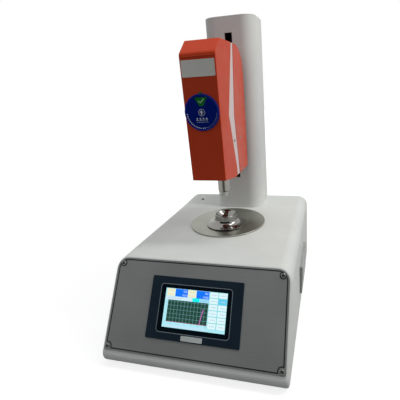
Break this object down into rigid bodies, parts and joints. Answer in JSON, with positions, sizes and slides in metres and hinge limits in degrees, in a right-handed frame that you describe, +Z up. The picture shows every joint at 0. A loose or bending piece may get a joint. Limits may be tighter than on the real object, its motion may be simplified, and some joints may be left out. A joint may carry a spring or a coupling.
{
  "type": "eggshell hardness tester",
  "caption": "Bench eggshell hardness tester: wedge base with touch screen and side printer, steel plate and egg cup, column with a lifting red test head and press tip.",
  "frame": {"origin": "on the bench, under the middle of the instrument", "axes": "+Z up, -Y towards the operator, +X to the operator's right, where the printer is"},
  "size_m": [0.3182, 0.4413, 0.5775],
  "materials": {
    "hood_white": "satin powder coat",
    "column_white": "satin powder coat",
    "panel_grey": "fine brushed, grey anodised",
    "bezel_dark": "dark overlay film",
    "screen_glass": "touch screen face",
    "case_black": "black moulded case",
    "plate_silver": "blank silver plate",
    "steel_brushed": "brushed stainless",
    "cup_chrome": "polished",
    "rubber_black": "matt rubber",
    "head_red": "satin red-orange paint",
    "head_white": "satin white paint",
    "disc_blue": "printed disc",
    "wheel_green": "printed sectors",
    "screw_steel": "zinc-plated fasteners",
    "tip_white": "white pressing tip",
    "printer_grey": "light grey moulding",
    "alu_machined": "machined",
    "steel_ground": "ground and hardened",
    "bronze": "bearing bronze",
    "motor_black": "black motor housing",
    "board_green": "circuit board",
    "zinc_sheet": "galvanised sheet"
  },
  "bodies": {
    "base": {"base_hood": "hood_white", "base_plate": "zinc_sheet", "flange_screws": "screw_steel", "rubber_feet": "rubber_black", "top_screw": "screw_steel", "front_panel": "panel_grey", "front_panel_screws": "screw_steel", "screen_bezel": "bezel_dark", "touch_glass": "screen_glass", "screen_housing": "case_black", "screen_nameplate": "plate_silver", "round_steel_plate": "steel_brushed", "column_shell": "column_white", "column_cap": "column_white", "guide_rods": "steel_ground", "lower_bearing_block": "alu_machined", "upper_bearing_block": "alu_machined", "screw_bearings": "steel_ground", "column_foot_plate": "zinc_sheet", "column_pillars": "alu_machined", "column_bolts": "screw_steel", "drive_motor": "motor_black", "printer_bezel": "printer_grey", "door_hinge_pin": "steel_ground", "printer_housing": "case_black", "print_head": "zinc_sheet", "rear_panel": "zinc_sheet", "rear_panel_screws": "screw_steel", "power_inlet": "case_black", "power_switch_frame": "case_black", "inlet_pins": "screw_steel", "control_board": "board_green", "board_standoffs": "alu_machined", "power_supply": "zinc_sheet"},
    "head": {"carriage": "alu_machined", "lead_nut": "bronze", "head_backplate": "alu_machined", "head_front_cover": "head_red", "head_mid_band": "head_white", "head_rear_cover": "head_red", "head_side_screws": "screw_steel", "load_cell": "alu_machined", "load_stud": "steel_ground", "chuck": "cup_chrome", "probe_tip": "tip_white", "head_nameplate": "plate_silver", "status_cover_disc": "disc_blue", "status_rivet": "screw_steel"},
    "screw": {"lead_screw": "steel_ground", "shaft_coupling": "alu_machined", "motor_shaft": "steel_ground"},
    "wheel": {"status_wheel": "wheel_green"},
    "cup": {"egg_cup": "cup_chrome", "cup_base_ring": "rubber_black"},
    "door": {"printer_door": "printer_grey"},
    "button": {"feed_button": "printer_grey"},
    "platen": {"platen_roller": "rubber_black"},
    "rocker": {"power_switch_rocker": "case_black"}
  },
  "joints": [
    {"name": "head_lift", "type": "slide", "parent": "base", "child": "head", "axis": [0, 0, 1], "range_m": [-0.045, 0.085]},
    {"name": "screw_spin", "type": "hinge", "parent": "base", "child": "screw", "pos_m": [0, 0.186, 0.3], "axis": [0, 0, 1], "range_deg": [-1630, 3070]},
    {"name": "status_wheel_turn", "type": "hinge", "parent": "head", "child": "wheel", "pos_m": [0, -0.06023, 0.3978], "axis": [0, -0.9994, -0.0351], "continuous": true},
    {"name": "egg_cup_lift", "type": "slide", "parent": "base", "child": "cup", "axis": [0, 0, 1], "range_m": [0, 0.03]},
    {"name": "printer_door_hinge", "type": "hinge", "parent": "base", "child": "door", "pos_m": [0.1582, 0.046, 0.0455], "axis": [0, 1, 0], "range_deg": [0, 88]},
    {"name": "feed_button_press", "type": "slide", "parent": "base", "child": "button", "axis": [-1, 0, 0], "range_m": [0, 0.001], "stiffness_N_per_m": 600, "springref_m": -0.001},
    {"name": "platen_roller_turn", "type": "hinge", "parent": "base", "child": "platen", "pos_m": [0.15, 0.045, 0.086], "axis": [0, 1, 0], "continuous": true},
    {"name": "power_switch_rock", "type": "hinge", "parent": "base", "child": "rocker", "pos_m": [0.1, 0.2147, 0.085], "axis": [0, 0, 1], "range_deg": [0, 16]}
  ],
  "couplings": [
    {"joint": "screw_spin", "follows": "head_lift", "rad_per_m": 628.32}
  ]
}
